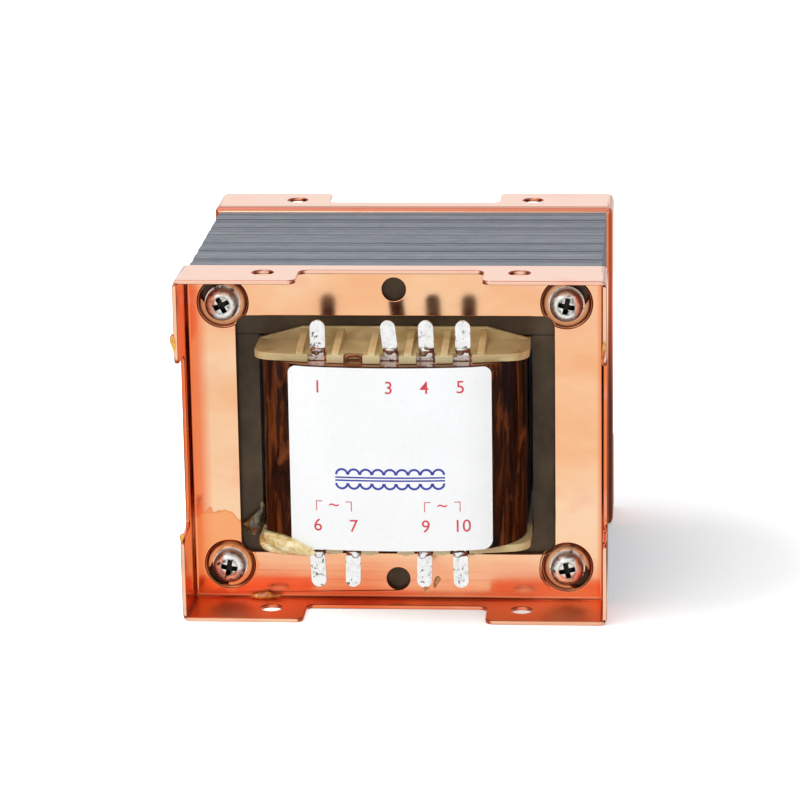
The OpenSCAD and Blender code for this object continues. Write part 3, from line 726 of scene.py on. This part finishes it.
def wire(name, points, radius, swell=None):
    """A round wire along points, made a mesh; swell gives its thickness at each point as a share of the radius."""
    curve = bpy.data.curves.new(name, "CURVE")
    curve.dimensions = "3D"
    curve.bevel_depth = radius
    curve.bevel_resolution = 3
    curve.use_fill_caps = True
    line = curve.splines.new("POLY")
    line.points.add(len(points) - 1)
    for target, point, share in zip(line.points, points, swell or [1.0] * len(points)):
        target.co = (*point, 1)
        target.radius = share
    piece = bpy.data.objects.new(name, curve)
    bpy.context.scene.collection.objects.link(piece)
    pick(piece)
    bpy.ops.object.convert(target="MESH")
    piece = bpy.context.active_object
    bpy.ops.object.shade_smooth()
    return piece


# ---- Core sheets ----

def cut_sheet(name, strips):
    """One sheet at the front of a packet, from a plate cut along the window's edges; strips says which fields stay."""
    bpy.ops.mesh.primitive_plane_add(size=1, location=(0, 0, 0), rotation=(math.pi / 2, 0, 0))
    plate = bpy.context.active_object
    plate.name = name
    plate.scale = (2 * CORE_HALF_W, 2 * CORE_HALF_H + 2 * SEAM, 1)
    settle(plate)
    edit(plate)
    inner, outer = TONGUE_HALF_W, TONGUE_HALF_W + WINDOW_W
    slice_across(0, (-outer, -inner, inner, outer))
    slice_across(2, (-CORE_HALF_H, -WINDOW_HALF_H, WINDOW_HALF_H, WINDOW_HALF_H + SEAM))
    select_faces(plate, lambda c: not strips(c.x, c.z))
    bpy.ops.mesh.delete(type="FACE")
    bpy.ops.mesh.select_all(action="SELECT")
    bpy.ops.mesh.dissolve_limited(angle_limit=0.01)
    bpy.ops.mesh.select_all(action="SELECT")
    bpy.ops.mesh.extrude_region_move(TRANSFORM_OT_translate={"value": (0, SHEET_T, 0)})
    face_outward()
    done()
    return plate


def e_field(x, z):
    """True on the yoke and the three legs of an E sheet."""
    across_window = TONGUE_HALF_W < abs(x) < TONGUE_HALF_W + WINDOW_W
    return -CORE_HALF_H < z < WINDOW_HALF_H and (z < -WINDOW_HALF_H or not across_window)


def i_field(x, z):
    """True on the I sheet that closes the E."""
    return z > WINDOW_HALF_H + SEAM


def drill(sheet, level):
    """Opens the clamping holes of a sheet at one height."""
    for side in (-1, 1):
        bpy.ops.mesh.primitive_cylinder_add(vertices=16, radius=HOLE_R, depth=4 * MM,
                                            location=(side * SCREW_X, 0, level), rotation=(math.pi / 2, 0, 0))
        bit = bpy.context.active_object
        modify(sheet, "BOOLEAN", operation="DIFFERENCE", solver="EXACT", object=bit)
        bpy.data.objects.remove(bit)


def lay_sheets(name, template, first, slot, node):
    """Copies one sheet through every second packet, each copy a hair out of line."""
    copies = []
    step = 2 * CORE_HALF_D / (PACKETS * SHEETS_PER_PACKET)
    for packet in range(first, PACKETS, 2):
        shift_x, shift_z = rng.uniform(-0.05, 0.05), rng.uniform(-0.04, 0.04)
        for sheet in range(SHEETS_PER_PACKET):
            y = -CORE_HALF_D + (packet * SHEETS_PER_PACKET + sheet) * step
            offset = Vector(((shift_x + rng.uniform(-0.04, 0.04)) * MM, y,
                             MIDDLE_Z + (shift_z + rng.uniform(-0.05, 0.05)) * MM))
            copies.append(moved_copy(template, offset))
    finished(joined(name, copies), slot, node)


def build_core():
    e_sheet = cut_sheet("e_sheet", e_field)
    drill(e_sheet, -SCREW_Z)
    i_sheet = cut_sheet("i_sheet", i_field)
    drill(i_sheet, SCREW_Z)
    turned = {}
    for sheet in (e_sheet, i_sheet):
        copy = moved_copy(sheet, (0, 0, 0))
        copy.data.transform(Matrix.Scale(-1, 4, (0, 0, 1)))
        edit(copy)
        face_outward()
        done()
        turned[sheet.name] = copy
    lay_sheets("upright_e_sheets", e_sheet, 0, "core_steel", "e_laminations_upright")
    lay_sheets("upper_i_sheets", i_sheet, 0, "core_steel_closing", "i_laminations_upper")
    lay_sheets("inverted_e_sheets", turned["e_sheet"], 1, "core_steel", "e_laminations_inverted")
    lay_sheets("lower_i_sheets", turned["i_sheet"], 1, "core_steel_closing", "i_laminations_lower")
    for piece in (e_sheet, i_sheet, *turned.values()):
        bpy.data.objects.remove(piece)


# ---- Winding ----

def noise_texture(name, size, depth):
    texture = bpy.data.textures.new(name, "CLOUDS")
    texture.noise_scale = size
    texture.noise_depth = depth
    return texture


def build_wrap():
    """The varnished paper round the winding, drawn in a little between its creases."""
    low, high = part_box("outer_wrap")
    height = high.z - low.z
    bpy.ops.mesh.primitive_cylinder_add(vertices=400, radius=1, depth=height, end_fill_type="NOTHING",
                                        location=(0, 0, (low.z + high.z) / 2))
    wrap = bpy.context.active_object
    wrap.name = "wrap_sheet"
    wrap.scale = (high.x * 1.7, high.y * 1.5, 1)
    settle(wrap)
    edit(wrap)
    slice_across(2, between(low.z, height, WRAP_RINGS))
    done()
    modify(wrap, "SHRINKWRAP", target=nodes["outer_wrap"], wrap_method="PROJECT", use_negative_direction=True,
           use_positive_direction=False)
    creases = bpy.data.objects.new("crease_scale", None)
    bpy.context.scene.collection.objects.link(creases)
    creases.scale = (1, 1, 7)
    modify(wrap, "DISPLACE", texture=noise_texture("creases", 0.012, 3), texture_coords="OBJECT",
           texture_coords_object=creases, strength=0.5 * MM, mid_level=0.95)
    bpy.data.objects.remove(creases)
    modify(wrap, "SOLIDIFY", thickness=0.5 * MM, offset=-1)
    smooth(wrap, 40)
    finished(wrap, "varnished_wrap", "outer_wrap")


def build_label():
    """The paper label, laid on the wrap, with its marks."""
    low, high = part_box("label")
    middle = (low + high) / 2
    width, height = high.x - low.x, high.z - low.z
    bpy.ops.mesh.primitive_plane_add(size=1, location=(0, LABEL_FRONT, middle.z), rotation=(math.pi / 2, 0, 0))
    label = bpy.context.active_object
    label.name = "paper_label"
    label.scale = (width, height, 1)
    settle(label)
    edit(label)
    bpy.ops.mesh.select_all(action="SELECT")
    bpy.ops.mesh.bevel(offset=2.4 * MM, segments=8, affect="VERTICES")
    slice_across(0, between(low.x, width, LABEL_COLUMNS))
    slice_across(2, between(low.z, height, LABEL_ROWS))
    done()
    modify(label, "SHRINKWRAP", target=nodes["outer_wrap"], wrap_method="PROJECT", use_project_y=True,
           use_negative_direction=True, use_positive_direction=True, offset=0.15 * MM)
    modify(label, "DISPLACE", texture=noise_texture("paper_waves", 0.016, 1), texture_coords="LOCAL",
           strength=0.12 * MM, mid_level=0.4, direction="Y")
    modify(label, "SOLIDIFY", thickness=0.12 * MM, offset=-1)
    smooth(label, 40)
    finished(label, "label_paper", "label")
    mark_label(label, middle.z)


def label_ink(name, tone):
    f = Finish(name)
    faded = tuple(min(1.0, part * 1.3 + 0.02) for part in tone)
    f.colour(f.ramp(f.noise((1500, 1500, 1500), 3), (0.3, tone), (0.7, faded)))
    f.rough(f.span(f.noise((900, 900, 900), 2), 0.3, 0.7, 0.45, 0.6))
    return f.material


def mark_label(label, middle):
    """Plain terminal numbers beside their lugs, hooks that tie each lower pair, and a winding sign."""
    marks = []
    row_up, row_down = middle + 20.3 * MM, middle - 19.0 * MM
    for number, slot in zip("1345", UPPER_SLOTS):
        marks.append(printed_number(number, slot_x(slot) * 0.98, row_up))
    for number, slot in zip(("6", "7", "9", "10"), LOWER_SLOTS):
        marks.append(printed_number(number, slot_x(slot) + LOWER_SHIFT + 1.0 * MM, row_down))
    for first, last in ((0, 1), (3, 4)):
        left, right = (slot_x(slot) + LOWER_SHIFT + 0.6 * MM for slot in (first, last))
        marks.extend(printed_bracket(left, right, row_down + 6.9 * MM))
        marks.append(printed_number("~", (left + right) / 2, row_down + 6.2 * MM))
    print_on(label, joined("label_numbers", marks), label_ink("red_ink", (0.56, 0.03, 0.05)))
    sign = joined("winding_sign", winding_sign(middle - 5.4 * MM))
    print_on(label, sign, label_ink("blue_ink", (0.02, 0.03, 0.30)))


def print_on(label, ink, finish):
    """Lays flat marks on the bowed label."""
    edit(ink)
    slice_across(0, [step * 2.3 * MM for step in range(-11, 12)])
    done()
    modify(ink, "SHRINKWRAP", target=label, wrap_method="PROJECT", use_project_y=True,
           use_negative_direction=True, use_positive_direction=True, offset=0.015 * MM)
    finished(ink, "label_paper", finish=finish)


def winding_sign(z):
    """The plain drawing sign for two windings on a core: a row of humps, two lines, a row of humps."""
    parts = [printed_bar((-15 * MM, z - 0.65 * MM), (15 * MM, z - 0.2 * MM)),
             printed_bar((-15 * MM, z + 0.2 * MM), (15 * MM, z + 0.65 * MM))]
    for way in (-1, 1):
        for hump in range(-4, 5):
            parts.append(printed_hump(hump * 3.3 * MM, z + way * 1.2 * MM, 1.85 * MM, way))
    return parts


def printed_hump(x, z, radius, way):
    """Half a ring, turned from a short bar."""
    bar = printed_bar((x + radius - 0.62 * MM, z - 0.01 * MM), (x + radius, z + 0.01 * MM))
    edit(bar)
    bpy.ops.mesh.select_all(action="SELECT")
    bpy.ops.mesh.delete(type="ONLY_FACE")
    bpy.ops.mesh.select_all(action="SELECT")
    bpy.ops.mesh.remove_doubles(threshold=0.03 * MM)
    bpy.ops.mesh.select_all(action="SELECT")
    bpy.ops.mesh.spin(steps=14, angle=math.pi * way, center=(x, LABEL_FRONT, z), axis=(0, 1, 0))
    face_outward()
    done()
    return bar


def printed_number(text, x, z):
    bpy.ops.object.text_add(location=(0, 0, 0))
    number = bpy.context.active_object
    number.data.body = text
    number.data.size = NUMBER_SIZE
    number.data.align_x = "CENTER"
    number.data.align_y = "CENTER"
    number.data.offset = 0.02 * MM
    pick(number)
    bpy.ops.object.convert(target="MESH")
    number = bpy.context.active_object
    number.location = (x, LABEL_FRONT, z)
    number.rotation_euler = (math.pi / 2, 0, 0)
    settle(number)
    return number


def printed_bar(low, high):
    """A flat bar between two corners, each given across and up."""
    middle = ((low[0] + high[0]) / 2, LABEL_FRONT, (low[1] + high[1]) / 2)
    bpy.ops.mesh.primitive_plane_add(size=1, location=middle, rotation=(math.pi / 2, 0, 0))
    bar = bpy.context.active_object
    bar.scale = (high[0] - low[0], high[1] - low[1], 1)
    settle(bar)
    return bar


def printed_bracket(left, right, z):
    """Two thin hooks that tie a pair of terminals, open in the middle."""
    line, arm, drop = 0.25 * MM, 1.7 * MM, 2.6 * MM
    return [printed_bar((left, z), (left + arm, z + line)), printed_bar((right - arm, z), (right, z + line)),
            printed_bar((left, z - drop), (left + line, z)), printed_bar((right - line, z - drop), (right, z))]


# ---- Bobbin ----

def build_bobbin():
    """The moulded bobbin, with the edges of its walls and noses rounded."""
    edged_copy("bobbin", "moulded_bobbin", "bobbin_nylon", 0.2 * MM)


# ---- Terminals ----

def bobbin_end(upward):
    """Height of one end face of the bobbin, and the way outward from it."""
    return (BOBBIN_HIGH, 1) if upward else (BOBBIN_LOW, -1)


def lug_turns(slots, side, upward, shift=0.0):
    """The winding ends, each turned round the neck of its lug."""
    base, way = bobbin_end(upward)
    half_w, half_t = 1.85 * MM, 0.68 * MM
    turns, count = 2.4, 64
    coils = []
    for slot in slots:
        x = slot_x(slot) + shift
        points = [(x + half_w + 0.1 * MM, side * (LUG_Y + 0.9 * MM), base - way * 2.4 * MM),
                  (x + half_w + 0.15 * MM, side * (LUG_Y + 0.8 * MM), base - way * 0.8 * MM)]
        for i in range(count + 1):
            angle = 2 * math.pi * turns * i / count
            c, s = math.cos(angle), math.sin(angle)
            across = half_w * math.copysign(abs(c) ** 0.6, c)
            out = half_t * math.copysign(abs(s) ** 0.8, s)
            rise = way * (0.25 + 0.42 * angle / (2 * math.pi) + 0.06 * math.sin(angle * 3 + slot)) * MM
            points.append((x + across, side * (LUG_Y + out), base + rise))
        coils.append(wire("coil", points, 0.24 * MM))
    return coils


def bead(name, centre, size, drawn=(0, 0, 0), grain=0.2 * MM):
    """A rounded bead whose lower half is drawn out, with an uneven skin."""
    bpy.ops.mesh.primitive_uv_sphere_add(segments=24, ring_count=14, radius=1, location=(0, 0, 0))
    piece = bpy.context.active_object
    piece.name = name
    piece.scale = size
    piece.location = centre
    settle(piece)
    edit(piece)
    for depth in (0.1, 0.4, 0.7):
        select_faces(piece, lambda c: c.z < centre[2] - depth * size[2])
        bpy.ops.transform.translate(value=[part / 3 for part in drawn])
        bpy.ops.transform.resize(value=(0.86, 0.86, 1.0))
    done()
    modify(piece, "DISPLACE", texture=noise_texture(name + "_skin", 0.0016, 2), texture_coords="LOCAL",
           strength=grain * 2, mid_level=0.5)
    modify(piece, "SMOOTH", factor=0.5, iterations=2)
    bpy.ops.object.shade_smooth()
    return piece


def solder_beads(slots, side, upward, shift=0.0):
    """Solder where each winding end meets its lug."""
    base, way = bobbin_end(upward)
    level = base + way * 0.75 * MM
    beads = []
    for slot in slots:
        x = slot_x(slot) + shift + rng.uniform(-0.3, 0.3) * MM
        beads.append(bead("solder", (x, side * 52.2 * MM, level + rng.uniform(-0.2, 0.4) * MM),
                          (rng.uniform(1.7, 2.2) * MM, 1.1 * MM, rng.uniform(0.8, 1.15) * MM),
                          (rng.uniform(-0.8, 0.8) * MM, 0, -0.5 * MM), 0.5 * MM))
    return beads


def spare_wire():
    """A spare winding end, folded back on itself in the empty front slot."""
    x = slot_x(SPARE_SLOT)
    strands = []
    for row in range(3):
        y = -(53.0 + 0.75 * row) * MM
        lift = (76.0 + 0.25 * row) * MM
        points = [(x - 2.0 * MM, y, lift - 1.6 * MM), (x - 1.9 * MM, y, lift - 0.3 * MM),
                  (x - 1.2 * MM, y + 0.1 * MM, lift), (x + 0.2 * MM, y, lift + 0.12 * MM),
                  (x + 1.4 * MM, y - 0.1 * MM, lift), (x + 2.0 * MM, y, lift - 0.4 * MM),
                  (x + 2.05 * MM, y, lift - 1.6 * MM)]
        strands.append(wire("strand", points, 0.36 * MM))
    return strands


def build_terminals():
    """The lugs, with their winding ends and solder."""
    for node in ("front_upper_lugs", "front_lower_lugs", "rear_upper_lugs", "rear_lower_lugs"):
        edged_copy(node, node.replace("lugs", "tags"), "tinned_lug", 0.14 * MM)
    front = ((UPPER_SLOTS, -1, True), (LOWER_SLOTS, -1, False, LOWER_SHIFT))
    rear = ((REAR_UPPER_SLOTS, 1, True), (REAR_LOWER_SLOTS, 1, False, LOWER_SHIFT))
    ends = [coil for row in front for coil in lug_turns(*row)]
    finished(joined("front_winding_ends", ends + spare_wire()), "lead_wire", "front_leads")
    ends = [coil for row in rear for coil in lug_turns(*row)]
    finished(joined("rear_winding_ends", ends), "lead_wire", "rear_leads")
    for name, rows in (("front_solder", front), ("rear_solder", rear)):
        finished(joined(name, [drop for row in rows for drop in solder_beads(*row)]), "tinned_lug")


# ---- Clamping ----

def turn_screw(screws, middle, degrees):
    """Turns one screw on its own axis, so that the four crosses don't line up."""
    edit(screws)
    select_faces(screws, lambda c: abs(c.x - middle.x) < 8 * MM and abs(c.z - middle.z) < 8 * MM)
    bpy.ops.transform.rotate(value=math.radians(degrees), orient_axis="Y", center_override=middle)
    done()


def build_clamping():
    """The pressed brackets and all that clamps them to the core."""
    edged_copy("front_bracket", "front_pan", "copper_plate", 0.28 * MM, 3)
    edged_copy("rear_bracket", "rear_pan", "copper_plate", 0.28 * MM, 3)
    screws = edged_copy("clamp_screws", "cross_head_screws", "plated_screw", 0.12 * MM)
    for x, z, turn in SCREW_TURNS:
        turn_screw(screws, Vector((x, 0, MIDDLE_Z + z)), turn)
    edged_copy("front_washers", "front_rings", "plated_washer", 0.15 * MM)
    edged_copy("rear_washers", "rear_rings", "plated_washer", 0.15 * MM)
    edged_copy("spring_washers", "spring_rings", "plated_washer", 0.12 * MM)
    edged_copy("hex_nuts", "nuts", "plated_screw", 0.12 * MM)
    finished(joined("screw_threads", thread_ends()), "plated_screw")


def thread_ends():
    """The thread that shows on each screw behind its nut."""
    start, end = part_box("hex_nuts")[1].y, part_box("clamp_screws")[1].y
    pitch, crest = 0.8 * MM, 2.43 * MM
    turns = (end - start - 0.5 * MM) / pitch
    count = 28 * math.ceil(turns)
    threads = []
    for across in (-SCREW_X, SCREW_X):
        for level in (MIDDLE_Z - SCREW_Z, MIDDLE_Z + SCREW_Z):
            points = []
            for i in range(count + 1):
                angle = 2 * math.pi * turns * i / count
                points.append((across + crest * math.cos(angle), start + 0.2 * MM + pitch * angle / (2 * math.pi),
                               level + crest * math.sin(angle)))
            threads.append(wire("thread", points, 0.2 * MM))
    return threads


# ---- Set varnish ----

FLANGE_FRONT = ((-37.2, -44.0, 21.4), (-37.0, -48.0, 21.2), (-35.6, -51.6, 21.0), (-33.0, -53.8, 20.8),
                (-29.0, -55.2, 20.7), (-25.0, -56.1, 20.6), (-22.2, -56.7, 20.7))
WRAP_FOOT = ((-36.9, -42.0, 23.0), (-35.5, -48.2, 23.3), (-33.3, -52.3, 23.4), (-30.4, -55.2, 23.2),
             (-27.4, -57.1, 22.8), (-24.6, -58.3, 22.2), (-22.3, -59.0, 21.8), (-20.9, -59.3, 21.6))
BEND_LINE = ((-41.5, -38.4, 1.9), (-39.8, -38.4, 1.9), (-37.5, -38.4, 1.9), (-35.2, -38.4, 1.9), (-32.7, -38.4, 2.2))
DIMPLE_RIM = [(47.5 + 7.7 * math.cos(math.radians(turn)), -37.05, 10.85 + 7.7 * math.sin(math.radians(turn)))
              for turn in range(140, 231, 10)]


def run(name, line, radius, swell):
    """A run of varnish along a line given in millimetres."""
    return wire(name, [mm(*point) for point in line], radius, swell)


def build_varnish():
    """Beads and runs of varnish that set where the dipped core drained."""
    amber = [
        bead("side_bead", mm(-59.1, -54.9, 80.2), mm(1.0, 1.1, 2.4), mm(0.5, 0, -1.0)),
        bead("ear_bead", mm(-58.3, -54.9, 24.6), mm(0.8, 0.8, 1.0), mm(-0.2, 0, -0.6)),
        bead("ear_run", mm(58.2, -55.2, 78.6), mm(0.6, 0.7, 2.8), mm(-0.5, 0, -1.5)),
        bead("tag_drip", mm(8.7, -51.9, 9.5), mm(1.1, 0.6, 0.9), mm(0.2, 0, -0.7)),
        bead("tag_smear", mm(11.0, -37.2, 6.4), mm(0.9, 0.35, 1.4), mm(-0.8, 0, -0.6)),
        bead("bend_bead", mm(-37.2, -38.3, 2.4), mm(1.3, 0.8, 0.8), mm(-1.2, -0.2, -0.2)),
        run("bend_run", BEND_LINE, 0.9 * MM, (0.4, 1.0, 1.2, 0.7, 0.2)),
        run("dimple_curl", DIMPLE_RIM, 0.42 * MM, (0.2, 0.5, 0.6, 0.5, 0.7, 0.9, 1.2, 1.1, 0.8, 0.3)),
    ]
    pale = [run("flange_run", FLANGE_FRONT, 0.9 * MM, (0.4, 0.9, 1.1, 1.2, 1.0, 0.8, 0.4)),
            run("wrap_foot", WRAP_FOOT, 1.0 * MM, (0.4, 1.3, 2.0, 2.4, 2.2, 1.7, 1.0, 0.4))]
    finished(joined("pale_runs", pale), "varnished_wrap", finish=PALE_VARNISH)
    finished(joined("varnish_runs", amber), "varnished_wrap", finish=AMBER_VARNISH)
    finished(window_pool(), "varnished_wrap", finish=THICK_VARNISH)


def window_pool():
    """The thick pool in the window's lower left corner, drawn up to a leaning tip."""
    middle, half = mm(-40.4, -36.3, 23.0), mm(3.7, 1.5, 3.0)
    pool = bead("window_pool", middle, half, mm(-0.3, 0, -0.6), 1.0 * MM)
    edit(pool)
    for rise in (0.1, 0.35, 0.6, 0.85):
        select_faces(pool, lambda c: c.z > middle[2] + half[2] * rise)
        bpy.ops.transform.translate(value=mm(0.6, -0.2, 0.9))
        bpy.ops.transform.resize(value=(0.68, 0.75, 1.0))
    done()
    return pool


place_camera()
light_studio()
lay_floor()
finish_cad_nodes()
build_core()
build_wrap()
build_label()
build_bobbin()
build_terminals()
build_clamping()
build_varnish()
